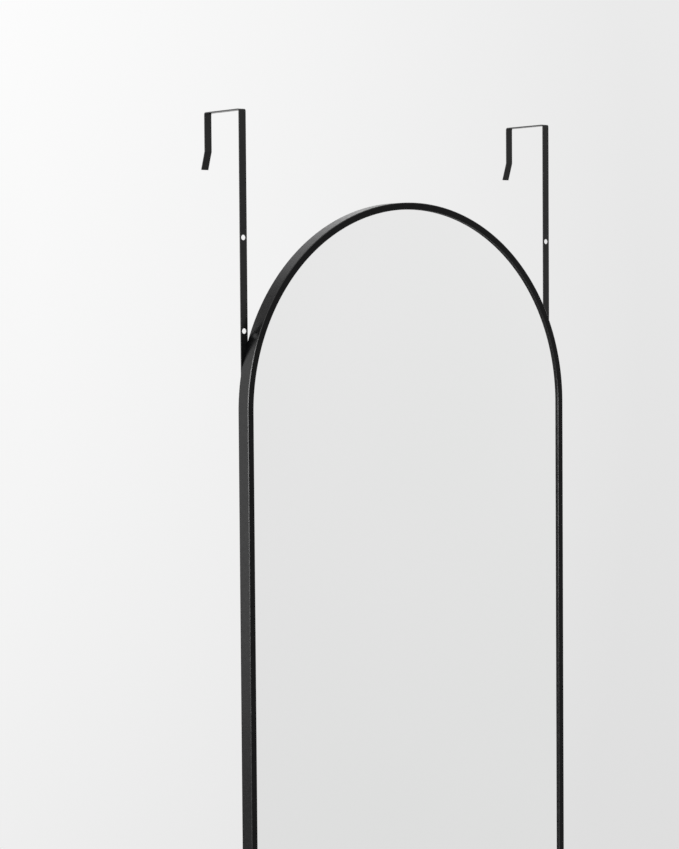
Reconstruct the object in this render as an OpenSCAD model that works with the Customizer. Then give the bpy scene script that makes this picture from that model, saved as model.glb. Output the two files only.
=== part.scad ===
// Over the door mirror: a tall mirror with a semicircular head in a thin metal frame,
// hung from two flat strap hooks that reach over the top edge of a door.
//
// Row frame: X runs to the right as the mirror is looked at, Y runs back towards the door,
// Z runs up. The origin lies midway between the hooks, on the door's top edge: Z = 0 is the
// underside of the hooks' bridges, and Y = 0 is the back face of their front straps.

/* [Mirror] */
// Width over the frame
mirror_w = 356; // [280:2:460]
// Height over the frame, from its foot to the top of its arch
mirror_h = 1220; // [900:10:1500]

/* [Frame section] */
// Width of the front lip, as the face of the frame shows it
face_w = 6.0; // [4.4:0.1:8]
// Thickness of the outer and inner walls
wall_t = 1.2; // [0.8:0.1:1.6]
// Thickness of the front lip
lip_t = 1.2; // [0.8:0.1:2]
// Thickness of the web between the glass groove and the rear channel
web_t = 1.0; // [0.8:0.1:2]
// Inside width of the rear channel
channel_w = 12.0; // [10:0.2:16]
// Inside depth of the rear channel
channel_d = 3.0; // [2.6:0.1:5]
// Thickness of the two rear lips beside the channel's slot
rear_lip_t = 1.2; // [0.8:0.1:2]
// Radius on the long outer edges
edge_r = 0.5; // [0.2:0.1:0.7]

/* [Glass and backing] */
// Thickness of the seal between the front lip and the glass
seal_t = 0.8; // [0.4:0.1:2]
// Distance that the seal lies back from the front lip's edge
seal_recess = 0.2; // [0:0.1:0.6]
// Thickness of the glass
glass_t = 3.0; // [2:0.5:5]
// Gap between the edge of the glass and the frame's wall
glass_gap = 0.5; // [0.2:0.1:1]
// Thickness of the safety film
film_t = 0.2; // [0.1:0.05:0.5]
// Thickness of the backing board
board_t = 2.4; // [1.6:0.1:4]
// Gap between the edge of the backing board and the frame's wall
board_gap = 0.8; // [0.4:0.1:1.5]

/* [Spring clips] */
// Space behind the board that the clips are sprung into
clip_space = 1.2; // [0.8:0.1:2.5]
// Length of a clip
clip_l = 50; // [30:1:70]
// Width of a clip, across the frame
clip_w = 20; // [16:1:30]
// Thickness of a clip
clip_t = 0.4; // [0.3:0.05:0.5]
// Distance of a clip from the frame's outer face
clip_inset = 4.2; // [4:0.1:6]
// Clips along each stile
stile_clips = 3; // [2:1:5]
// Clips along the bottom rail
rail_clips = 2; // [1:1:3]
// Clips round the arch
arch_clips = 4; // [2:1:6]

/* [Hook strap] */
// Width of the strap
strap_w = 7.0; // [6.4:0.1:10]
// Thickness of the strap
strap_t = 1.0; // [0.8:0.1:2]
// Gap between the front and rear legs, which takes the door
door_gap = 49; // [38:1:60]
// Inside radius of the strap's bends
bend_r = 1.0; // [0.5:0.1:3]
// Straight rear leg, from the underside of the bridge down to its kink
rear_leg_l = 31.8; // [20:0.2:60]
// Length of the lip below the kink
lip_l = 15.8; // [8:0.2:30]
// Angle by which the lip flares away from the door
lip_angle = 19; // [5:1:40]
// Distance from the underside of the bridge down to the first hole
first_hole_drop = 106; // [80:1:140]
// Distance from hole to hole
hole_pitch = 78; // [50:1:100]
// Free holes left above the two that hold the screws
spare_holes = 2; // [0:1:3]
// Length of strap below the last hole
strap_end = 12; // [8:1:30]

/* [Hook fasteners] */
// Diameter of the hook screws
screw_d = 4.0; // [3:0.5:5]
// Diameter of the hook screws' heads
screw_head_d = 7.0; // [6.2:0.1:9]
// Height of the hook screws' heads
screw_head_h = 2.2; // [1.6:0.1:3]
// Gap between a screw's tip and the web
screw_tip_gap = 0.2; // [0.1:0.1:0.6]
// Radial clearance of a screw in a strap hole
hole_clearance = 0.3; // [0.2:0.05:0.6]
// Clearance on each side of a screw in the channel's slot
slot_clearance = 0.2; // [0.1:0.05:0.4]
// Radial clearance of a screw in its thread
thread_clearance = 0.05; // [0.02:0.01:0.1]
// Length of a slide nut, along the channel
nut_l = 12; // [8:1:20]
// Thickness of a slide nut
nut_t = 2.2; // [1.6:0.1:2.4]
// Clearance on each side of a slide nut or corner key in the channel
channel_clearance = 0.2; // [0.1:0.05:0.4]
// Straight channel left above the upper slide nut, where the stile starts to bend
bend_margin = 3.8; // [1:0.2:10]

/* [Corner keys] */
// Length of each leg of a corner key
key_leg = 45; // [38:1:70]
// Thickness of a corner key
key_t = 2.0; // [1.4:0.1:2.4]
// Distance of a corner key's grub screws from the corner
grub_from_corner = 30; // [20:1:32]
// Diameter of the grub screws
grub_d = 4.0; // [3:0.5:4.2]
// Length of the grub screws
grub_l = 3.2; // [3:0.1:4]
// Width across the flats of the grub screws' sockets
grub_socket = 2.0; // [1.5:0.1:2.2]

/* [Bumpers] */
// Diameter of a bumper
bumper_d = 11.5; // [8:0.5:14]
// Diameter of a bumper's flat top
bumper_top_d = 7.0; // [4:0.5:8]
// Height of a bumper above the foot of the frame
bumper_rise = 90; // [60:1:200]

/* [Hidden] */
$fn = 144;

// Side of the mirror, as a factor on X
left = -1;
right = 1;

// Overshoot of a cutting solid past the face that it cuts
cut = 1;

// Segments in each quarter round of the frame's section, and round the wide bow of a clip
round_steps = 4;
bow_fn = 1800;

// Mirror: the arch is a semicircle over two straight stiles
arch_r = mirror_w / 2;
stile_l = mirror_h - arch_r;

// Frame section: u is measured inwards from the outer face, v back from the front face
glass_v = lip_t + seal_t;
film_v = glass_v + glass_t;
board_v = film_v + film_t;
clip_v = board_v + board_t;
web_v = clip_v + clip_space;
channel_v = web_v + web_t;
rear_lip_v = channel_v + channel_d;
frame_depth = rear_lip_v + rear_lip_t;
section_w = channel_w + 2 * wall_t;
slot_u = section_w / 2;
slot_w = screw_d + 2 * slot_clearance;

// Hook: heights of the strap's holes, and where the mirror hangs from the two lowest
strap_x = arch_r - slot_u;
hole_r = screw_d / 2 + hole_clearance;
hole_z = [for (i = [0 : spare_holes + 1]) -first_hole_drop - i * hole_pitch];
upper_screw_z = hole_z[spare_holes];
lower_screw_z = hole_z[spare_holes + 1];
front_leg_l = -lower_screw_z + strap_end;
screw_l = strap_t + rear_lip_t + channel_d - screw_tip_gap;

// Cross recess of a hook screw's head: width of its arms, length over two of them, depth
recess_w = 0.9;
recess_l = 4.0;
recess_d = 1.2;

// Place of the frame: its back lies on the straps, its bend starts above the upper nut
frame_front_y = -strap_t - frame_depth;
arch_z = upper_screw_z + nut_l / 2 + bend_margin;

// Spring clips: a shallow bow that touches the board at its middle and the web at its ends
clip_clearance = 0.05;
clip_sag = clip_space - clip_t - 2 * clip_clearance;
clip_bow_r = (clip_l * clip_l / 4 + clip_sag * clip_sag) / (2 * clip_sag);

// Bumpers stand as proud of the frame as the screw heads do
bumper_h = strap_t + screw_head_h;
bumper_rim_h = 1.0;

frame_black = [0.06, 0.06, 0.065];
seal_black = [0.03, 0.03, 0.03];
board_brown = [0.40, 0.29, 0.20];
silver = [0.86, 0.88, 0.89];
spring_steel = [0.62, 0.63, 0.65];
zinc = [0.70, 0.71, 0.72];
film_grey = [0.55, 0.57, 0.58];
rubber_grey = [0.16, 0.16, 0.17];

// Points of a quarter round about a centre, from one angle over the next 90 degrees
function quarter_round(centre, r, from) =
    [for (i = [0 : round_steps])
        let (a = from + 90 * i / round_steps)
        centre + r * [cos(a), sin(a)]];

// Outline of the frame's section: a groove for the glass, and behind it a slotted channel
section_points = concat(
    quarter_round([edge_r, edge_r], edge_r, 180),
    [
        [face_w, 0],
        [face_w, lip_t],
        [wall_t, lip_t],
        [wall_t, web_v],
        [section_w, web_v],
        [section_w, frame_depth],
        [slot_u + slot_w / 2, frame_depth],
        [slot_u + slot_w / 2, rear_lip_v],
        [section_w - wall_t, rear_lip_v],
        [section_w - wall_t, channel_v],
        [wall_t, channel_v],
        [wall_t, rear_lip_v],
        [slot_u - slot_w / 2, rear_lip_v],
        [slot_u - slot_w / 2, frame_depth]
    ],
    quarter_round([edge_r, frame_depth - edge_r], edge_r, 90)
);

// Frame plan: x to the right, y down from the arch's centre, z back from the front face
module frame_plan() {
    translate([0, frame_front_y, arch_z])
        rotate([-90, 0, 0])
            children();
}

// Turns a child drawn along +x of the frame plan to an angle above the arch's centre line
module round_arch(angle) {
    rotate([0, 0, -angle])
        children();
}

// The frame's section, with its outer face at a distance from the plan's origin
module section(outer) {
    polygon([for (p = section_points) [outer - p.x, p.y]]);
}

// A stretch of the frame's section up one side of the frame plan
module stile(side) {
    mirror([side < 0 ? 1 : 0, 0, 0])
        translate([0, stile_l, 0])
            rotate([90, 0, 0])
                linear_extrude(stile_l)
                    section(arch_r);
}

// The wedge that holds the bottom rail and leaves the stiles, cut at 45 degrees
module mitre_wedge() {
    inner = section_w + cut;
    translate([0, 0, -cut])
        linear_extrude(frame_depth + 2 * cut)
            polygon([
                [-arch_r - cut, stile_l + cut],
                [-arch_r + inner, stile_l - inner],
                [arch_r - inner, stile_l - inner],
                [arch_r + cut, stile_l + cut]
            ]);
}

// Outline of the mirror in the frame plan, drawn in by a distance on every side
module arch_outline(inset) {
    r = arch_r - inset;
    circle(r);
    translate([-r, 0])
        square([2 * r, stile_l - inset]);
}

// A plate of that outline, from one depth behind the frame's front face to another
module arch_plate(inset, depth, thickness) {
    frame_plan()
        translate([0, 0, depth])
            linear_extrude(thickness)
                arch_outline(inset);
}

module frame_arch() {
    color(frame_black)
        frame_plan()
            difference() {
                union() {
                    rotate([0, 0, 180])
                        rotate_extrude(angle = 180)
                            section(arch_r);
                    stile(left);
                    stile(right);
                }
                mitre_wedge();
            }
}

module bottom_rail() {
    color(frame_black)
        frame_plan()
            intersection() {
                translate([-arch_r, 0, 0])
                    rotate([90, 0, 90])
                        linear_extrude(mirror_w)
                            section(stile_l);
                mitre_wedge();
            }
}

// Places of a corner key's grub screws in the frame plan, for the right-hand corner
grub_places = [
    [arch_r - slot_u, stile_l - grub_from_corner, 0],
    [arch_r - grub_from_corner, stile_l - slot_u, 0]
];

// A corner key: an L-shaped plate held against the rear lips by its grub screws
module corner_key(side) {
    outer = wall_t + channel_clearance;
    inner = section_w - wall_t - channel_clearance;
    color(zinc)
        frame_plan()
            mirror([side < 0 ? 1 : 0, 0, 0])
                difference() {
                    translate([0, 0, rear_lip_v - key_t])
                        linear_extrude(key_t)
                            polygon([
                                [arch_r - outer, stile_l - outer],
                                [arch_r - outer, stile_l - outer - key_leg],
                                [arch_r - inner, stile_l - outer - key_leg],
                                [arch_r - inner, stile_l - inner],
                                [arch_r - outer - key_leg, stile_l - inner],
                                [arch_r - outer - key_leg, stile_l - outer]
                            ]);
                    for (place = grub_places)
                        translate(place)
                            cylinder(h = frame_depth, r = grub_d / 2 + thread_clearance);
                }
}

module corner_key_left() {
    corner_key(left);
}

module corner_key_right() {
    corner_key(right);
}

// A grub screw: it bears on the web and is turned through the channel's slot
module grub_screw() {
    socket_r = grub_socket / sqrt(3);
    difference() {
        cylinder(h = grub_l, r = grub_d / 2);
        translate([0, 0, grub_l / 2])
            cylinder(h = grub_l, r = socket_r, $fn = 6);
    }
}

module corner_key_screws() {
    color(spring_steel)
        frame_plan()
            for (side = [left, right], place = grub_places)
                translate([side * place.x, place.y, channel_v])
                    grub_screw();
}

module glass_seal() {
    color(seal_black)
        frame_plan()
            translate([0, 0, lip_t])
                linear_extrude(seal_t)
                    difference() {
                        arch_outline(wall_t + glass_gap);
                        arch_outline(face_w - seal_recess);
                    }
}

module mirror_glass() {
    color(silver)
        arch_plate(wall_t + glass_gap, glass_v, glass_t);
}

module safety_film() {
    color(film_grey)
        arch_plate(wall_t + board_gap, film_v, film_t);
}

module backing_board() {
    color(board_brown)
        arch_plate(wall_t + board_gap, board_v, board_t);
}

// One bowed clip: x is its width, inwards from the frame's outer face, y its length
module clip() {
    translate([-clip_inset - clip_w, 0, clip_space - clip_clearance])
        rotate([0, 90, 0])
            linear_extrude(clip_w)
                intersection() {
                    translate([0, -clip_l / 2])
                        square([clip_space, clip_l]);
                    translate([clip_sag + clip_t - clip_bow_r, 0])
                        difference() {
                            circle(clip_bow_r, $fn = bow_fn);
                            circle(clip_bow_r - clip_t, $fn = bow_fn);
                        }
                }
}

module board_clips() {
    color(spring_steel)
        frame_plan()
            translate([0, 0, clip_v]) {
                for (i = [0 : arch_clips - 1])
                    round_arch(180 * (i + 0.5) / arch_clips)
                        translate([arch_r, 0, 0])
                            clip();
                for (side = [left, right], i = [0 : stile_clips - 1])
                    translate([0, stile_l * (i + 0.5) / stile_clips, 0])
                        mirror([side < 0 ? 1 : 0, 0, 0])
                            translate([arch_r, 0, 0])
                                clip();
                for (i = [0 : rail_clips - 1])
                    translate([mirror_w * ((i + 0.5) / rail_clips - 0.5), stile_l, 0])
                        rotate([0, 0, 90])
                            clip();
            }
}

// A bumper: a low dome on the frame's rear lips, as proud as the hook screws' heads
module bumper(side) {
    shoulder = (bumper_d - bumper_top_d) / 2;
    fall = bumper_h - bumper_rim_h;
    color(rubber_grey)
        frame_plan()
            translate([side * strap_x, stile_l - bumper_rise, frame_depth])
                rotate_extrude()
                    polygon(concat(
                        [[0, 0], [bumper_d / 2, 0]],
                        [for (i = [0 : round_steps])
                            let (a = 90 * i / round_steps)
                            [
                                bumper_top_d / 2 + shoulder * cos(a),
                                bumper_rim_h + fall * sin(a)
                            ]],
                        [[0, bumper_h]]
                    ));
}

module bumper_left() {
    bumper(left);
}

module bumper_right() {
    bumper(right);
}

// A bend of the strap about a centre, seen from the side, between two angles
module strap_bend(centre, from, to) {
    reach = 2 * (bend_r + strap_t);
    middle = (from + to) / 2;
    translate(centre)
        intersection() {
            difference() {
                circle(bend_r + strap_t);
                circle(bend_r);
            }
            polygon([
                [0, 0],
                reach * [cos(from), sin(from)],
                reach * [cos(middle), sin(middle)],
                reach * [cos(to), sin(to)]
            ]);
        }
}

// The strap seen from the side: front leg, bridge, rear leg and flared lip
module strap_side() {
    kink = [door_gap + strap_t + bend_r, -rear_leg_l];
    translate([-strap_t, strap_w / 2 - front_leg_l])
        square([strap_t, front_leg_l - strap_w / 2 - bend_r]);
    strap_bend([bend_r, -bend_r], 90, 180);
    translate([bend_r, 0])
        square([door_gap - 2 * bend_r, strap_t]);
    strap_bend([door_gap - bend_r, -bend_r], 0, 90);
    translate([door_gap, -rear_leg_l])
        square([strap_t, rear_leg_l - bend_r]);
    strap_bend(kink, 180, 180 + lip_angle);
    translate(kink)
        rotate(lip_angle)
            translate([-bend_r - strap_t, -lip_l])
                square([strap_t, lip_l]);
}

// A hook: one flat strap, round at its lower end, with a row of holes down its front leg
module hook(side) {
    color(frame_black)
        translate([side * strap_x, 0, 0])
            difference() {
                union() {
                    translate([-strap_w / 2, 0, 0])
                        rotate([90, 0, 90])
                            linear_extrude(strap_w)
                                strap_side();
                    translate([0, 0, strap_w / 2 - front_leg_l])
                        rotate([90, 0, 0])
                            cylinder(h = strap_t, r = strap_w / 2);
                }
                for (z = hole_z)
                    translate([0, cut, z])
                        rotate([90, 0, 0])
                            cylinder(h = strap_t + 2 * cut, r = hole_r);
            }
}

module hook_left() {
    hook(left);
}

module hook_right() {
    hook(right);
}

// A pan-head screw with a cross recess: its head lies on the strap, its shank points forward
module hook_screw() {
    rotate([90, 0, 0])
        cylinder(h = screw_l, r = screw_d / 2);
    difference() {
        rotate([-90, 0, 0])
            rotate_extrude()
                polygon(concat(
                    [[0, 0], [screw_head_d / 2, 0]],
                    [for (i = [0 : round_steps])
                        let (a = 90 * i / round_steps)
                        [
                            screw_head_d / 2 * (1 + cos(a)) / 2,
                            screw_head_h * (1 + sin(a)) / 2
                        ]],
                    [[0, screw_head_h]]
                ));
        for (turn = [0, 90])
            rotate([0, turn, 0])
                translate([-recess_l / 2, screw_head_h - recess_d, -recess_w / 2])
                    cube([recess_l, recess_d + cut, recess_w]);
    }
}

module hook_screws(side) {
    color(frame_black)
        for (z = [upper_screw_z, lower_screw_z])
            translate([side * strap_x, 0, z])
                hook_screw();
}

module hook_screws_left() {
    hook_screws(left);
}

module hook_screws_right() {
    hook_screws(right);
}

// A slide nut: a threaded plate in the rear channel, drawn against the rear lips
module slide_nut(side, z) {
    width = channel_w - 2 * channel_clearance;
    color(zinc)
        translate([side * strap_x, -strap_t - rear_lip_t, z])
            rotate([90, 0, 0])
                difference() {
                    translate([-width / 2, -nut_l / 2, 0])
                        cube([width, nut_l, nut_t]);
                    translate([0, 0, -cut])
                        cylinder(h = nut_t + 2 * cut, r = screw_d / 2 + thread_clearance);
                }
}

module slide_nut_left_upper() {
    slide_nut(left, upper_screw_z);
}

module slide_nut_left_lower() {
    slide_nut(left, lower_screw_z);
}

module slide_nut_right_upper() {
    slide_nut(right, upper_screw_z);
}

module slide_nut_right_lower() {
    slide_nut(right, lower_screw_z);
}

frame_arch();
bottom_rail();
corner_key_left();
corner_key_right();
corner_key_screws();
glass_seal();
mirror_glass();
safety_film();
backing_board();
board_clips();
bumper_left();
bumper_right();
hook_left();
hook_screws_left();
slide_nut_left_upper();
slide_nut_left_lower();
hook_right();
hook_screws_right();
slide_nut_right_upper();
slide_nut_right_lower();
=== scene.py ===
import math

import bpy
from mathutils import Matrix, Vector
from mathutils.geometry import tessellate_polygon


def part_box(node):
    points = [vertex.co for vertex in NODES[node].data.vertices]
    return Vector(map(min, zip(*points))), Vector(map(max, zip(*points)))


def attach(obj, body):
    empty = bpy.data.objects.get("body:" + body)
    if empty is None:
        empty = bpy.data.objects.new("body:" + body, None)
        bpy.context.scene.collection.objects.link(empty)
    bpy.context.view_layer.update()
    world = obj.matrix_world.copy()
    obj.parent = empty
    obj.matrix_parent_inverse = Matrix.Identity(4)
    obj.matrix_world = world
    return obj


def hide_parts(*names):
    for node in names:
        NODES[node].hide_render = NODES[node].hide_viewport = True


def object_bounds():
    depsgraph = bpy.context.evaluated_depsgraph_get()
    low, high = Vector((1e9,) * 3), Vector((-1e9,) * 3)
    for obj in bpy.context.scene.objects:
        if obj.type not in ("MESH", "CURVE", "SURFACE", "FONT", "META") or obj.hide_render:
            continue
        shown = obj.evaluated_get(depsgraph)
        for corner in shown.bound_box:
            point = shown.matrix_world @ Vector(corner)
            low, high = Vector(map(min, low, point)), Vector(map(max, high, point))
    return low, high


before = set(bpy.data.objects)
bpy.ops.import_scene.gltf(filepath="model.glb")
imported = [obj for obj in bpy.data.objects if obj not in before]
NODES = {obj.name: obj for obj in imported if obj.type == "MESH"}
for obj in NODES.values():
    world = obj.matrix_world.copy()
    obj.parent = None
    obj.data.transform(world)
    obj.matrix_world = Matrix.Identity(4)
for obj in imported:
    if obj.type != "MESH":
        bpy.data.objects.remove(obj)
cad_low, cad_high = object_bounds()
MM = 0.001

# ---------------------------------------------------------------- sizes, in metres
# Frame section, as in the CAD: u is measured inwards from the outer face, v back from the front
FACE_W = 6.0 * MM
LIP_T = 1.2 * MM
WALL_T = 1.2 * MM
WEB_V = 8.8 * MM
CHANNEL_V = 9.8 * MM
REAR_LIP_V = 12.8 * MM
SLOT_W = 4.4 * MM
OUTER_EDGE = 0.5 * MM
INNER_EDGE = 0.3 * MM
FOLD_R = 0.15 * MM
ARCH_STEPS = 168

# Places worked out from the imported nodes
RAIL_LOW, RAIL_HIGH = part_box("bottom_rail")
FRAME_LOW, FRAME_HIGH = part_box("frame_arch")
FRONT_Y = FRAME_LOW.y
DEPTH = FRAME_HIGH.y - FRAME_LOW.y
SECTION_W = RAIL_HIGH.z - RAIL_LOW.z
ARCH_R = FRAME_HIGH.x
ARCH_Z = FRAME_HIGH.z - ARCH_R
STILE_L = ARCH_Z - FRAME_LOW.z
FOOT_Z = ARCH_Z - STILE_L
SLOT_U = SECTION_W / 2

# Hook straps. CUT_OVER is how far the holes' cutters reach past both faces, and END_TIP_SHARE
# the share of its width that is left at the tip of the half round end
STRAP_T = 1.0 * MM
STRAP_EDGE_R = 0.18 * MM
BEND_R = 1.0 * MM
REAR_LEG_L = 31.8 * MM
LIP_L = 15.8 * MM
LIP_ANGLE = math.radians(19)
HOLE_R = 2.3 * MM
HOLE_RIM = 0.08 * MM
FIRST_HOLE_Z = -106 * MM
HOLE_PITCH = 78 * MM
HOLES = 4
HOLE_STEPS = 32
CUT_OVER = 1 * MM
EDGE_STEPS, END_STEPS, BEND_STEPS, KINK_STEPS = 3, 10, 8, 4
END_TIP_SHARE = 0.02

# Hook screws: pan heads with a tapered cross recess. A thread's crest lies between two shares
# of its pitch, and RECESS_OVER is how far the recess's cutter reaches above the head
SCREW_R = 2.0 * MM
THREAD_PITCH = 0.7 * MM
THREAD_D = 0.25 * MM
THREAD_FROM = -1.4 * MM
CREST_FROM, CREST_TO = 0.4, 0.6
HEAD_R = 3.5 * MM
HEAD_H = 2.2 * MM
HEAD_RIM = 0.15 * MM
RECESS_REACH, RECESS_REACH_LOW = 2.0 * MM, 0.9 * MM
RECESS_HALF, RECESS_HALF_LOW = 0.45 * MM, 0.32 * MM
RECESS_D = 1.2 * MM
RECESS_OVER = RECESS_D / 4
SCREW_STEPS, DOME_STEPS = 48, 8

# Bumpers. DISH_SHARES are points of the dish, as shares of the top's radius and of its depth
BUMPER_TOP_R = 3.5 * MM
BUMPER_RIM_H = 1.0 * MM
BUMPER_FOOT_EDGE = 0.25 * MM
BUMPER_DISH = 0.25 * MM
DISH_SHARES = ((0.8, 0.2), (0.5, 0.8), (0, 1))
BUMPER_STEPS, BUMPER_ROUND_STEPS = 64, 12

# Spring clips: bowed strips between the backing board and the web
CLIP_L = 50 * MM
CLIP_W = 20 * MM
CLIP_T = 0.4 * MM
CLIP_SAG = 0.7 * MM
CLIP_CORNER_R = 3 * MM
CLIP_INSET = 4.2 * MM
CLIP_END_GAP = 0.05 * MM
CLIP_CORNER_STEPS, CLIP_BOW_STEPS = 5, 12
STILE_CLIPS, RAIL_CLIPS, ARCH_CLIPS = 3, 2, 4

# Shading, the CAD hardware's edge rounds, and the least slope of a section's cut edge
SMOOTH_ANGLE = math.radians(40)
ROUND_FROM_ANGLE = math.radians(50)
HARDWARE_ROUND = 0.15 * MM
HARDWARE_ROUND_STEPS = 2
WELD_WITHIN = 0.001 * MM
SLOPE_LEAST = 0.2 * MM

# ---------------------------------------------------------------- camera
# The photograph's view: from the left front, a little above the middle of what it shows
PHOTO_W, PHOTO_H = 679, 849
FOCAL_PX = 2450
SENSOR_MM = 36
CAMERA_AT = Vector((-1.3632, -1.6673, -0.1638))
YAW = math.radians(37.792)
PITCH = math.radians(2.766)
ROLL = math.radians(-0.431)


def make_camera():
    data = bpy.data.cameras.new("camera")
    data.sensor_width = SENSOR_MM
    data.lens = SENSOR_MM * FOCAL_PX / max(PHOTO_W, PHOTO_H)
    camera = bpy.data.objects.new("camera", data)
    bpy.context.collection.objects.link(camera)
    turn = (
        Matrix.Rotation(-YAW, 4, "Z")
        @ Matrix.Rotation(math.pi / 2 - PITCH, 4, "X")
        @ Matrix.Rotation(ROLL, 4, "Z")
    )
    camera.matrix_world = Matrix.Translation(CAMERA_AT) @ turn
    bpy.context.scene.camera = camera


# ---------------------------------------------------------------- mesh helpers
def smooth(piece):
    """Smooth shading with sharp creases, and flats that stay flat beside small rounds."""
    mesh = piece.data
    mesh.shade_smooth()
    mesh.set_sharp_from_angle(angle=SMOOTH_ANGLE)
    weighted = piece.modifiers.new("flats", "WEIGHTED_NORMAL")
    weighted.keep_sharp = True


def add_piece(name, verts, faces, body, slot, materials, nodes):
    mesh = bpy.data.meshes.new(name)
    mesh.from_pydata(verts, [], faces)
    mesh.validate()
    for material in materials:
        mesh.materials.append(material)
    piece = bpy.data.objects.new(name, mesh)
    bpy.context.collection.objects.link(piece)
    smooth(piece)
    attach(piece, body)
    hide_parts(*nodes)
    return piece


def rounded(corners):
    """An outline from (x, y, radius, steps) corners: one step cuts a corner, more round it."""
    points = []
    count = len(corners)
    for i, (x, y, r, steps) in enumerate(corners):
        here = Vector((x, y))
        if r == 0:
            points.append(here)
            continue
        before = (Vector(corners[i - 1][:2]) - here).normalized()
        after = (Vector(corners[(i + 1) % count][:2]) - here).normalized()
        half = before.angle(after) / 2
        centre = here + (before + after).normalized() * (r / math.sin(half))
        start = here + before * (r / math.tan(half)) - centre
        end = here + after * (r / math.tan(half)) - centre
        sweep = start.angle_signed(end)
        for k in range(steps + 1):
            turn = Matrix.Rotation(-sweep * k / steps, 2)
            points.append(centre + turn @ start)
    return points


def skin(rings):
    """Quads between closed rings of equal length."""
    count = len(rings[0])
    verts = [p for ring in rings for p in ring]
    faces = []
    for i in range(len(rings) - 1):
        for k in range(count):
            a = i * count + k
            b = i * count + (k + 1) % count
            faces.append((a, b, b + count, a + count))
    return verts, faces


def cap(faces, outline, first, flip):
    """Closes a ring that starts at index first with triangles, as its flat outline asks."""
    flat = [Vector((p[0], p[1], 0)) for p in outline]
    for triangle in tessellate_polygon([flat]):
        indices = [first + k for k in triangle]
        faces.append(tuple(reversed(indices)) if flip else tuple(indices))


def capped(section, rings):
    """Rings of a section skinned over, with the section's shape closing both ends."""
    verts, faces = skin(rings)
    cap(faces, section, 0, flip=True)
    cap(faces, section, len(verts) - len(section), flip=False)
    return verts, faces


def lathe(profile, steps, place):
    """Turns (radius, height) points about an axis; place maps (x, y, height) into the scene."""
    verts = []
    faces = []
    rings = []
    for radius, height in profile:
        if radius == 0:
            rings.append([len(verts)] * steps)
            verts.append(place(0, 0, height))
            continue
        rings.append(list(range(len(verts), len(verts) + steps)))
        for k in range(steps):
            a = 2 * math.pi * k / steps
            verts.append(place(radius * math.cos(a), radius * math.sin(a), height))
    for low, high in zip(rings, rings[1:]):
        for k in range(steps):
            m = (k + 1) % steps
            corners = (low[k], low[m], high[m], high[k])
            face = tuple(dict.fromkeys(corners))
            if len(face) > 2:
                faces.append(face)
    return verts, faces


def gather(parts):
    """Joins (verts, faces) parts into one."""
    verts = []
    faces = []
    for more, sides in parts:
        faces += [tuple(k + len(verts) for k in face) for face in sides]
        verts += more
    return verts, faces


def solid(rings):
    """Rings of equal length with a flat face on each end."""
    verts, faces = skin(rings)
    count = len(rings[0])
    faces.append(tuple(reversed(range(count))))
    faces.append(tuple(range(len(verts) - count, len(verts))))
    return verts, faces


def cutter_object(verts, faces):
    mesh = bpy.data.meshes.new("cutter")
    mesh.from_pydata(verts, [], faces)
    return bpy.data.objects.new("cutter", mesh)


def cut_away(piece, cutter):
    """Cuts the cutter's shape out of the piece for good."""
    piece.modifiers.clear()
    bpy.context.collection.objects.link(cutter)
    boolean = piece.modifiers.new("cut", "BOOLEAN")
    boolean.operation = "DIFFERENCE"
    boolean.solver = "EXACT"
    boolean.object = cutter
    shown = bpy.context.evaluated_depsgraph_get()
    result = bpy.data.meshes.new_from_object(piece.evaluated_get(shown))
    piece.modifiers.remove(boolean)
    piece.data = result
    bpy.data.objects.remove(cutter)
    smooth(piece)


# ---------------------------------------------------------------- frame
def frame_section():
    """The frame's section as in the CAD, with its small folds rounded as well."""
    slot_in = SLOT_U + SLOT_W / 2
    slot_out = SLOT_U - SLOT_W / 2
    return rounded([
        (0, 0, OUTER_EDGE, 1),
        (FACE_W, 0, INNER_EDGE, 1),
        (FACE_W, LIP_T, FOLD_R, 2),
        (WALL_T, LIP_T, 0, 1),
        (WALL_T, WEB_V, 0, 1),
        (SECTION_W, WEB_V, INNER_EDGE, 1),
        (SECTION_W, DEPTH, INNER_EDGE, 1),
        (slot_in, DEPTH, FOLD_R, 2),
        (slot_in, REAR_LIP_V, FOLD_R, 2),
        (SECTION_W - WALL_T, REAR_LIP_V, 0, 1),
        (SECTION_W - WALL_T, CHANNEL_V, 0, 1),
        (WALL_T, CHANNEL_V, 0, 1),
        (WALL_T, REAR_LIP_V, 0, 1),
        (slot_out, REAR_LIP_V, FOLD_R, 2),
        (slot_out, DEPTH, FOLD_R, 2),
        (0, DEPTH, OUTER_EDGE, 1),
    ])


def arch_rings(section):
    """The section from the left mitre up its stile, round the arch and down to the right mitre."""
    def at(x, down, v):
        return (x, FRONT_Y + v, ARCH_Z - down)

    rings = [[at(u - ARCH_R, STILE_L - u, v) for u, v in section]]
    for k in range(ARCH_STEPS + 1):
        a = math.pi * (1 - k / ARCH_STEPS)
        rings.append([
            at((ARCH_R - u) * math.cos(a), -(ARCH_R - u) * math.sin(a), v)
            for u, v in section
        ])
    rings.append([at(ARCH_R - u, STILE_L - u, v) for u, v in section])
    return rings


def rail_rings(section):
    """The section from the right mitre of the rail to its left mitre."""
    left = [(u - ARCH_R, FRONT_Y + v, FOOT_Z + u) for u, v in section]
    right = [(ARCH_R - u, FRONT_Y + v, FOOT_Z + u) for u, v in section]
    return [right, left]


def edge_strips(section):
    """The strips of the section that slope: its cut edges, which take a glossier coat painted
    lighter as a highlight.
    """
    count = len(section)
    strips = set()
    for k, here in enumerate(section):
        run = section[(k + 1) % count] - here
        if min(abs(run.x), abs(run.y)) > SLOPE_LEAST:
            strips.add(k)
    return strips


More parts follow.
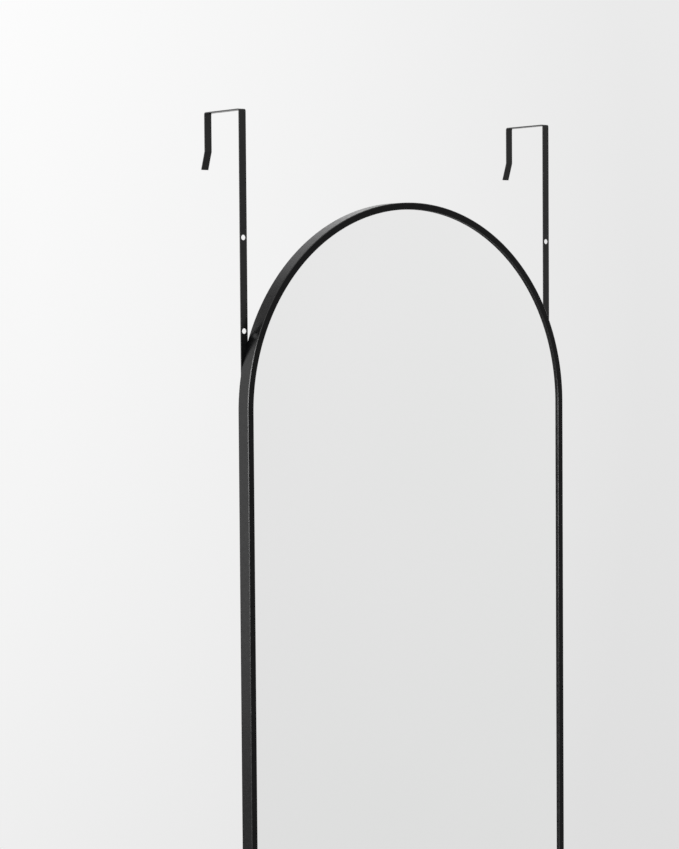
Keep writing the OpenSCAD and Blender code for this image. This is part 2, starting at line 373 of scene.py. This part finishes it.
def make_frame(coat, edge_highlight_coat):
    """Head with stiles, and rail; the sloping strips of both take a glossier coat whose lighter
    colour is a painted highlight.
    """
    section = frame_section()
    edges = edge_strips(section)
    for name, node, rings in (
        ("frame_profile", "frame_arch", arch_rings(section)),
        ("bottom_rail_profile", "bottom_rail", rail_rings(section)),
    ):
        piece = add_piece(name, *capped(section, rings), "mirror", "frame",
                          [coat, edge_highlight_coat], [node])
        side_faces = (len(rings) - 1) * len(section)
        for i, face in enumerate(piece.data.polygons):
            # Edge strips get the glossier coat; its lighter colour is a painted highlight along
            # the edges
            if i < side_faces and i % len(section) in edges:
                face.material_index = 1


# ---------------------------------------------------------------- hook straps
def arc_points(centre, r, start, end, steps):
    return [
        centre + r * Vector((math.cos(start + (end - start) * k / steps),
                             math.sin(start + (end - start) * k / steps)))
        for k in range(steps + 1)
    ]


def strap_path(door_gap, foot_z):
    """The middle of the strap's thickness in (y, z), from its lower end to its lip's tip."""
    half = STRAP_T / 2
    r = BEND_R + half
    quarter = math.pi / 2
    kink = Vector((door_gap + STRAP_T + BEND_R, -REAR_LEG_L))
    points = [Vector((-half, foot_z))]
    points += arc_points(Vector((BEND_R, -BEND_R)), r, 2 * quarter, quarter, BEND_STEPS)
    points += arc_points(Vector((door_gap - BEND_R, -BEND_R)), r, quarter, 0, BEND_STEPS)
    points += arc_points(kink, r, 2 * quarter, 2 * quarter + LIP_ANGLE, KINK_STEPS)
    along = Vector((math.sin(LIP_ANGLE), -math.cos(LIP_ANGLE)))
    points.append(points[-1] + along * LIP_L)
    return points


def strap_rings(x, width, path):
    """Rings of the strap's rounded section along its path; the lower end is a half round."""
    half_w = width / 2
    half_t = STRAP_T / 2
    section = rounded([
        (a * half_w, b * half_t, STRAP_EDGE_R, EDGE_STEPS)
        for a, b in ((-1, -1), (1, -1), (1, 1), (-1, 1))
    ])
    rings = []
    foot = path[0]
    for k in range(END_STEPS + 1):
        a = math.pi / 2 * k / END_STEPS
        narrow = max(math.sin(a), END_TIP_SHARE)
        z = foot.y + half_w * (1 - math.cos(a))
        rings.append([(x + s * narrow, foot.x + t, z) for s, t in section])
    for i in range(1, len(path)):
        before = (path[i] - path[i - 1]).normalized()
        after = (path[i + 1] - path[i]).normalized() if i + 1 < len(path) else before
        along = (before + after).normalized()
        across = Vector((along.y, -along.x)) / along.dot(before)
        rings.append([
            (x + s, path[i].x + across.x * t, path[i].y + across.y * t) for s, t in section
        ])
    return section, rings


def hole_cutter(x):
    """Cylinders that widen at 45 degrees to both faces of the strap, for its holes."""
    wide = HOLE_R + HOLE_RIM + CUT_OVER
    profile = [
        (0, -CUT_OVER), (wide, -CUT_OVER), (HOLE_R, HOLE_RIM),
        (HOLE_R, STRAP_T - HOLE_RIM), (wide, STRAP_T + CUT_OVER), (0, STRAP_T + CUT_OVER),
    ]
    heights = [FIRST_HOLE_Z - i * HOLE_PITCH for i in range(HOLES)]
    return cutter_object(*gather([
        lathe(profile, HOLE_STEPS, lambda a, b, h, z=z: (x + a, h - STRAP_T, z - b))
        for z in heights
    ]))


def make_strap(side, material):
    node = f"hook_{side}"
    low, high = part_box(node)
    x = (low.x + high.x) / 2
    kink_out = BEND_R * (1 - math.cos(LIP_ANGLE)) + LIP_L * math.sin(LIP_ANGLE)
    door_gap = high.y - STRAP_T - kink_out
    section, rings = strap_rings(x, high.x - low.x, strap_path(door_gap, low.z))
    piece = add_piece(f"strap_hook_{side}", *capped(section, rings), f"hook_strap_{side}",
                      "strap", [material], [node])
    cut_away(piece, hole_cutter(x))


# ---------------------------------------------------------------- small hardware
def quarter_profile(r_from, h_from, r_to, h_to, steps):
    """A quarter ellipse of (radius, height) points that starts upright and ends level."""
    return [
        (r_to + (r_from - r_to) * math.cos(math.pi / 2 * k / steps),
         h_from + (h_to - h_from) * math.sin(math.pi / 2 * k / steps))
        for k in range(steps + 1)
    ]


def screw_profile(tip):
    """From the tip up: thread, shank, the head's rounded rim, its dome and its flat top."""
    root = SCREW_R - THREAD_D
    turns = int((THREAD_FROM - tip) / THREAD_PITCH)
    points = [(0, tip), (root, tip)]
    for i in range(turns):
        start = THREAD_FROM - (turns - i) * THREAD_PITCH
        points += [(root, start), (SCREW_R, start + CREST_FROM * THREAD_PITCH),
                   (SCREW_R, start + CREST_TO * THREAD_PITCH)]
    points += [(root, THREAD_FROM), (SCREW_R, THREAD_FROM + THREAD_D), (SCREW_R, 0),
               (HEAD_R - HEAD_RIM, 0), (HEAD_R, HEAD_RIM)]
    points += quarter_profile(HEAD_R, HEAD_H / 2, HEAD_R / 2, HEAD_H, DOME_STEPS)
    return points + [(0, HEAD_H)]


def cross_recess(x, z):
    """A cross whose arms taper from above the head's top down to the recess's floor."""
    rings = []
    for depth in (RECESS_D, -RECESS_OVER):
        share = depth / RECESS_D
        reach = RECESS_REACH + (RECESS_REACH_LOW - RECESS_REACH) * share
        half = RECESS_HALF + (RECESS_HALF_LOW - RECESS_HALF) * share
        quarter = [(reach, -half), (reach, half), (half, half)]
        outline = []
        for turn in range(4):
            for a, b in quarter:
                for _ in range(turn):
                    a, b = -b, a
                outline.append((x + a, HEAD_H - depth, z - b))
        rings.append(outline)
    return solid(rings)


def make_screws(side, material):
    node = f"hook_screws_{side}"
    low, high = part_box(node)
    x = (low.x + high.x) / 2
    heights = (low.z + HEAD_R, high.z - HEAD_R)
    profile = screw_profile(low.y)
    shape = gather([
        lathe(profile, SCREW_STEPS, lambda a, b, h, z=z: (x + a, h, z - b)) for z in heights
    ])
    piece = add_piece(f"pan_head_screws_{side}", *shape, f"hook_strap_{side}",
                      "screw_black", [material], [node])
    cut_away(piece, cutter_object(*gather([cross_recess(x, z) for z in heights])))


def make_bumper(side, material):
    """A soft button: a short upright rim, a full round and a slightly dished top."""
    node = f"bumper_{side}"
    low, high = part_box(node)
    centre = (low + high) / 2
    r = (high.x - low.x) / 2
    height = high.y - low.y
    profile = [(0, 0), (r - BUMPER_FOOT_EDGE, 0), (r, BUMPER_FOOT_EDGE)]
    profile += quarter_profile(r, BUMPER_RIM_H, BUMPER_TOP_R, height, BUMPER_ROUND_STEPS)
    profile += [
        (out * BUMPER_TOP_R, height - deep * BUMPER_DISH) for out, deep in DISH_SHARES
    ]
    shape = lathe(profile, BUMPER_STEPS,
                  lambda a, b, h: (centre.x + a, low.y + h, centre.z - b))
    add_piece(f"rubber_bumper_{side}", *shape, "mirror", "bumper", [material], [node])


def clip_places():
    """Each clip's place on the frame's outer face, in (x, z), and the direction inwards."""
    places = []
    for i in range(ARCH_CLIPS):
        a = math.pi * (i + 0.5) / ARCH_CLIPS
        out = Vector((math.cos(a), math.sin(a)))
        places.append((Vector((0, ARCH_Z)) + ARCH_R * out, -out))
    for i in range(STILE_CLIPS):
        z = ARCH_Z - STILE_L * (i + 0.5) / STILE_CLIPS
        places += [(Vector((side * ARCH_R, z)), Vector((-side, 0))) for side in (-1, 1)]
    for i in range(RAIL_CLIPS):
        x = 2 * ARCH_R * ((i + 0.5) / RAIL_CLIPS - 0.5)
        places.append((Vector((x, FOOT_Z)), Vector((0, 1))))
    return places


def clip_shape(place, inward):
    """A bowed strip with round corners: its middle bears on the board, its ends on the web."""
    along = Vector((-inward.y, inward.x))
    bow_r = (CLIP_L ** 2 / 4 + CLIP_SAG ** 2) / (2 * CLIP_SAG)
    angles = [math.pi / 2 * k / CLIP_CORNER_STEPS for k in range(CLIP_CORNER_STEPS + 1)]
    ends = [
        (CLIP_CORNER_R * (1 - math.cos(a)), CLIP_CORNER_R * (1 - math.sin(a))) for a in angles
    ]
    straight = CLIP_L - 2 * CLIP_CORNER_R
    stations = [(-CLIP_L / 2 + out, inset) for out, inset in ends]
    stations += [
        (-straight / 2 + straight * k / CLIP_BOW_STEPS, 0) for k in range(1, CLIP_BOW_STEPS)
    ]
    stations += [(CLIP_L / 2 - out, inset) for out, inset in reversed(ends)]
    rings = []
    for s, inset in stations:
        front = FRONT_Y + WEB_V - CLIP_END_GAP - CLIP_T
        front -= CLIP_SAG - (bow_r - math.sqrt(bow_r ** 2 - s ** 2))
        near, far = inset, CLIP_W - inset
        ring = []
        for u, v in ((near, 0), (far, 0), (far, CLIP_T), (near, CLIP_T)):
            at = place + inward * (CLIP_INSET + u) + along * s
            ring.append((at.x, front + v, at.y))
        rings.append(ring)
    return solid(rings)


def make_clips(material):
    shape = gather([clip_shape(*place) for place in clip_places()])
    add_piece("spring_clips", *shape, "mirror", "spring_steel", [material], ["board_clips"])


# ---------------------------------------------------------------- materials
# Most of a noise's values lie between these two
NOISE_LOW, NOISE_HIGH = 0.3, 0.7


def grade(tree, value, start, end, low, high):
    """The tree's value mapped from start..end onto low..high, and held at its ends."""
    graded = tree.nodes.new("ShaderNodeMapRange")
    ends = {"From Min": start, "From Max": end, "To Min": low, "To Max": high}
    for socket, number in ends.items():
        graded.inputs[socket].default_value = number
    tree.links.new(value, graded.inputs["Value"])
    return graded.outputs["Result"]


class Nodes:
    """A material's node tree with its Principled shader, and short ways to add to it."""

    def __init__(self, name):
        self.material = bpy.data.materials.new(name)
        self.material.use_nodes = True
        self.tree = self.material.node_tree
        self.shader = self.tree.nodes["Principled BSDF"]
        self.place = self.add("ShaderNodeTexCoord").outputs["Object"]

    def add(self, kind, **settings):
        node = self.tree.nodes.new(kind)
        for key, value in settings.items():
            setattr(node, key, value)
        return node

    def link(self, output, socket):
        self.tree.links.new(output, socket)

    def noise(self, size, detail=3.0, roughness=0.5, stretch=(1, 1, 1)):
        """Noise from 0 to 1, with features of about a size in metres, stretched per axis."""
        mapping = self.add("ShaderNodeMapping")
        mapping.inputs["Scale"].default_value = [1 / (size * s) for s in stretch]
        self.link(self.place, mapping.inputs["Vector"])
        noise = self.add("ShaderNodeTexNoise")
        noise.inputs["Scale"].default_value = 1.0
        noise.inputs["Detail"].default_value = detail
        noise.inputs["Roughness"].default_value = roughness
        self.link(mapping.outputs["Vector"], noise.inputs["Vector"])
        return noise.outputs["Fac"]

    def colours(self, value, low, high):
        """Base colour from low to high, as the noise's value asks."""
        ramp = self.add("ShaderNodeValToRGB")
        stops = zip(ramp.color_ramp.elements, (NOISE_LOW, NOISE_HIGH), (low, high))
        for element, place, colour in stops:
            element.position = place
            element.color = (*colour, 1)
        self.link(value, ramp.inputs["Fac"])
        self.link(ramp.outputs["Color"], self.shader.inputs["Base Color"])

    def roughness(self, value, low, high):
        """Roughness from low to high, as the noise's value asks."""
        graded = grade(self.tree, value, NOISE_LOW, NOISE_HIGH, low, high)
        self.link(graded, self.shader.inputs["Roughness"])

    def bump(self, height, depth):
        """Bump of a depth in metres; more than one call adds up."""
        bump = self.add("ShaderNodeBump")
        bump.inputs["Strength"].default_value = 1.0
        bump.inputs["Distance"].default_value = depth
        self.link(height, bump.inputs["Height"])
        normal = self.shader.inputs["Normal"]
        if normal.is_linked:
            self.link(normal.links[0].from_socket, bump.inputs["Normal"])
        self.link(bump.outputs["Normal"], normal)

    def fixed(self, **values):
        for key, value in values.items():
            self.shader.inputs[key.replace("_", " ")].default_value = value


def powder_coat(name, dark, light, rough, gloss):
    """Satin black powder coat: the fine orange peel of a baked powder, and faint tone."""
    m = Nodes(name)
    m.colours(m.noise(size=6 * MM), low=dark, high=light)
    m.roughness(m.noise(size=3 * MM), low=rough - 0.05, high=rough + 0.05)
    m.bump(m.noise(size=0.9 * MM, detail=2), depth=0.02 * MM)
    m.bump(m.noise(size=0.25 * MM, detail=2), depth=0.005 * MM)
    m.fixed(Specular_IOR_Level=gloss)
    return m.material


def metal(name, dark, light, rough, grain, stretch=(1, 1, 1)):
    """Bare or plated metal, with grains of a size in metres, stretched per axis."""
    m = Nodes(name)
    grains = m.noise(size=grain, stretch=stretch)
    m.colours(grains, low=dark, high=light)
    m.roughness(m.noise(size=3 * grain), low=rough - 0.07, high=rough + 0.07)
    m.bump(grains, depth=0.01 * MM)
    m.fixed(Metallic=1.0)
    return m.material


def silvered_glass():
    """Mirror: silver behind clear float glass, which is very slightly wavy."""
    m = Nodes("silvered_glass")
    m.colours(m.noise(size=250 * MM, detail=1), low=(0.885, 0.89, 0.885), high=(0.9, 0.9, 0.9))
    m.roughness(m.noise(size=80 * MM, detail=1), low=0.02, high=0.03)
    m.bump(m.noise(size=120 * MM, detail=1), depth=0.004 * MM)
    m.fixed(Metallic=1.0)
    return m.material


def hardboard():
    """Brown hardboard, smooth side out: pressed wood fibre with a waxy sheen."""
    m = Nodes("hardboard")
    fibres = m.noise(size=3 * MM, detail=6, roughness=0.7, stretch=(1, 1, 2.5))
    m.colours(fibres, low=(0.085, 0.042, 0.02), high=(0.15, 0.082, 0.042))
    m.roughness(m.noise(size=20 * MM), low=0.42, high=0.58)
    m.bump(m.noise(size=0.8 * MM, detail=4), depth=0.03 * MM)
    return m.material


def soft_black(name, dark, light, rough, grain):
    """Foam or rubber: matt, with a fine grain."""
    m = Nodes(name)
    grains = m.noise(size=grain, detail=4)
    m.colours(grains, low=dark, high=light)
    m.roughness(m.noise(size=4 * grain), low=rough - 0.06, high=rough + 0.06)
    m.bump(grains, depth=0.03 * MM)
    m.fixed(Specular_IOR_Level=0.3)
    return m.material


def film():
    """Clear film over the glass's grey backing paint, with faint ripples."""
    m = Nodes("safety_film")
    m.colours(m.noise(size=60 * MM), low=(0.36, 0.38, 0.4), high=(0.42, 0.44, 0.46))
    m.roughness(m.noise(size=15 * MM), low=0.3, high=0.4)
    m.bump(m.noise(size=25 * MM, detail=2), depth=0.03 * MM)
    return m.material


def dress(node, material, rounds=False):
    """Gives a CAD node its material and, where asked, small rounds on its edges."""
    shown = NODES[node]
    shown.data.materials.clear()
    shown.data.materials.append(material)
    if rounds:
        weld = shown.modifiers.new("weld", "WELD")
        weld.merge_threshold = WELD_WITHIN
        edges = shown.modifiers.new("edges", "BEVEL")
        edges.width = HARDWARE_ROUND
        edges.segments = HARDWARE_ROUND_STEPS
        edges.limit_method = "ANGLE"
        edges.angle_limit = ROUND_FROM_ANGLE
        edges.loop_slide = False
        edges.harden_normals = True


# ---------------------------------------------------------------- stage and light
def soft_lamp(name, place, target, width, height, watts):
    """A white area lamp that the camera doesn't see."""
    data = bpy.data.lights.new(name, "AREA")
    data.shape = "RECTANGLE"
    data.size = width
    data.size_y = height
    data.energy = watts
    lamp = bpy.data.objects.new(name, data)
    bpy.context.collection.objects.link(lamp)
    lamp.location = place
    aim = Vector(target) - Vector(place)
    lamp.rotation_euler = aim.to_track_quat("-Z", "Y").to_euler()
    lamp.visible_camera = False


# Tone of the background by direction: from below to above, and shares of it at the sides,
# behind the mirror and in front of it. What lights matt surfaces is darker than what is seen.
TONE_BELOW, TONE_ABOVE = 0.79, 0.925
FROM_BELOW, TO_ABOVE = -0.30, 0.15
SHARE_SIDE, SHARE_BEHIND = 0.90, 1.065
FROM_SIDE, TO_BEHIND = 0.71, 0.86
SHARE_FRONT = 1.12
FROM_FRONT, TO_SIDE = -0.7, 0.0
AMBIENT = 0.55


def combine(tree, operation, values):
    """Values of the tree put together two by two."""
    result = values[0]
    for value in values[1:]:
        both = tree.nodes.new("ShaderNodeMath")
        both.operation = operation
        tree.links.new(result, both.inputs[0])
        tree.links.new(value, both.inputs[1])
        result = both.outputs[0]
    return result


def make_world():
    """A pale studio, lightest behind the mirror."""
    world = bpy.data.worlds.new("studio")
    bpy.context.scene.world = world
    world.use_nodes = True
    tree = world.node_tree
    shown = tree.nodes["Background"]
    shown.inputs["Color"].default_value = (1, 1, 1, 1)
    direction = tree.nodes.new("ShaderNodeTexCoord").outputs["Generated"]
    axes = tree.nodes.new("ShaderNodeSeparateXYZ")
    tree.links.new(direction, axes.inputs["Vector"])
    tone = combine(tree, "MULTIPLY", [
        grade(tree, axes.outputs["Z"], FROM_BELOW, TO_ABOVE, TONE_BELOW, TONE_ABOVE),
        grade(tree, axes.outputs["Y"], FROM_SIDE, TO_BEHIND, SHARE_SIDE, SHARE_BEHIND),
        grade(tree, axes.outputs["Y"], FROM_FRONT, TO_SIDE, SHARE_FRONT, 1),
    ])
    tree.links.new(tone, shown.inputs["Strength"])
    ambient = tree.nodes.new("ShaderNodeBackground")
    ambient.inputs["Color"].default_value = (1, 1, 1, 1)
    ambient.inputs["Strength"].default_value = AMBIENT
    rays = tree.nodes.new("ShaderNodeLightPath").outputs
    seen = combine(tree, "MAXIMUM", [
        rays["Is Camera Ray"], rays["Is Glossy Ray"], rays["Is Transmission Ray"],
    ])
    mix = tree.nodes.new("ShaderNodeMixShader")
    tree.links.new(seen, mix.inputs["Fac"])
    tree.links.new(ambient.outputs[0], mix.inputs[1])
    tree.links.new(shown.outputs[0], mix.inputs[2])
    tree.links.new(mix.outputs[0], tree.nodes["World Output"].inputs["Surface"])


# The floor is solid round the mirror's foot and fades into the background further out
FLOOR_SOLID_R, FLOOR_R = 1.0, 2.6
FLOOR_GAP = 0.2 * MM
FLOOR_STEPS = 96
FLOOR_DARK, FLOOR_LIGHT = 0.8, 0.81


def make_floor():
    z = cad_low.z - FLOOR_GAP
    angles = [2 * math.pi * k / FLOOR_STEPS for k in range(FLOOR_STEPS)]
    verts = [(FLOOR_R * math.cos(a), FLOOR_R * math.sin(a), z) for a in angles]
    mesh = bpy.data.meshes.new("floor")
    mesh.from_pydata(verts, [], [tuple(range(FLOOR_STEPS))])
    floor = bpy.data.objects.new("floor", mesh)
    bpy.context.collection.objects.link(floor)
    m = Nodes("floor")
    m.colours(m.noise(size=0.8), low=(FLOOR_DARK,) * 3, high=(FLOOR_LIGHT,) * 3)
    m.fixed(Roughness=0.9, Specular_IOR_Level=0.1)
    flat = m.add("ShaderNodeVectorMath", operation="MULTIPLY")
    flat.inputs[1].default_value = (1, 1, 0)
    m.link(m.place, flat.inputs[0])
    far = m.add("ShaderNodeVectorMath", operation="LENGTH")
    m.link(flat.outputs["Vector"], far.inputs[0])
    fade = m.add("ShaderNodeMapRange", interpolation_type="SMOOTHSTEP")
    fade.inputs["From Min"].default_value = FLOOR_SOLID_R
    fade.inputs["From Max"].default_value = FLOOR_R
    m.link(far.outputs["Value"], fade.inputs["Value"])
    clear = m.add("ShaderNodeBsdfTransparent")
    mix = m.add("ShaderNodeMixShader")
    m.link(fade.outputs["Result"], mix.inputs["Fac"])
    m.link(m.shader.outputs["BSDF"], mix.inputs[1])
    m.link(clear.outputs["BSDF"], mix.inputs[2])
    m.link(mix.outputs["Shader"], m.tree.nodes["Material Output"].inputs["Surface"])
    mesh.materials.append(m.material)


# ---------------------------------------------------------------- the object
def make_object():
    coat = powder_coat("powder_coat", dark=(0.002, 0.002, 0.0022), light=(0.004, 0.004, 0.0042),
                       rough=0.27, gloss=0.09)
    # Glossier coat for the frame's cut edges; its lighter base colour is a painted highlight, the
    # higher gloss is real
    edge_highlight_coat = powder_coat("edge_highlight_coat", dark=(0.006, 0.006, 0.006), light=(0.012, 0.012, 0.012),
                            rough=0.25, gloss=0.35)
    strap_coat = powder_coat("strap_coat", dark=(0.003, 0.003, 0.003), light=(0.006, 0.006, 0.006),
                             rough=0.25, gloss=0.25)
    oxide = powder_coat("black_oxide", dark=(0.01, 0.01, 0.011), light=(0.02, 0.02, 0.021),
                        rough=0.3, gloss=0.4)
    zinc = metal("zinc_plate", dark=(0.5, 0.52, 0.55), light=(0.64, 0.65, 0.66),
                 rough=0.3, grain=1.2 * MM)
    steel = metal("plain_steel", dark=(0.4, 0.4, 0.41), light=(0.52, 0.52, 0.52),
                  rough=0.3, grain=0.6 * MM)
    spring = metal("spring_steel", dark=(0.42, 0.43, 0.45), light=(0.56, 0.57, 0.58),
                   rough=0.32, grain=0.5 * MM, stretch=(1, 1, 14))
    rubber = soft_black("rubber", dark=(0.02, 0.02, 0.021), light=(0.034, 0.034, 0.035),
                        rough=0.7, grain=0.5 * MM)
    foam = soft_black("foam_seal", dark=(0.006, 0.006, 0.006), light=(0.012, 0.012, 0.012),
                      rough=0.85, grain=0.3 * MM)
    make_frame(coat, edge_highlight_coat)
    make_clips(spring)
    for side in ("left", "right"):
        make_strap(side, strap_coat)
        make_screws(side, oxide)
        make_bumper(side, rubber)
        dress(f"corner_key_{side}", zinc, rounds=True)
        for level in ("upper", "lower"):
            dress(f"slide_nut_{side}_{level}", zinc, rounds=True)
    dress("corner_key_screws", steel)
    dress("glass_seal", foam)
    dress("mirror_glass", silvered_glass())
    dress("safety_film", film())
    dress("backing_board", hardboard())


make_camera()
make_object()
make_floor()
make_world()
soft_lamp("window", (-3.68, -3.09, 0.45), target=(0, 0, -0.3), width=1.44, height=2.4, watts=154)
soft_lamp("wall", (-1.95, 2.45, 0.05), target=(0, 0, -0.3), width=1.8, height=2.2, watts=28)
soft_lamp("top", (0.0, -0.2, 2.4), target=(0, 0, -0.4), width=2.4, height=2.4, watts=16)
soft_lamp("back", (0.75, 2.4, 1.5), target=(0, 0, -0.3), width=2.4, height=1.6, watts=12)
bpy.context.scene.view_settings.view_transform = "Standard"
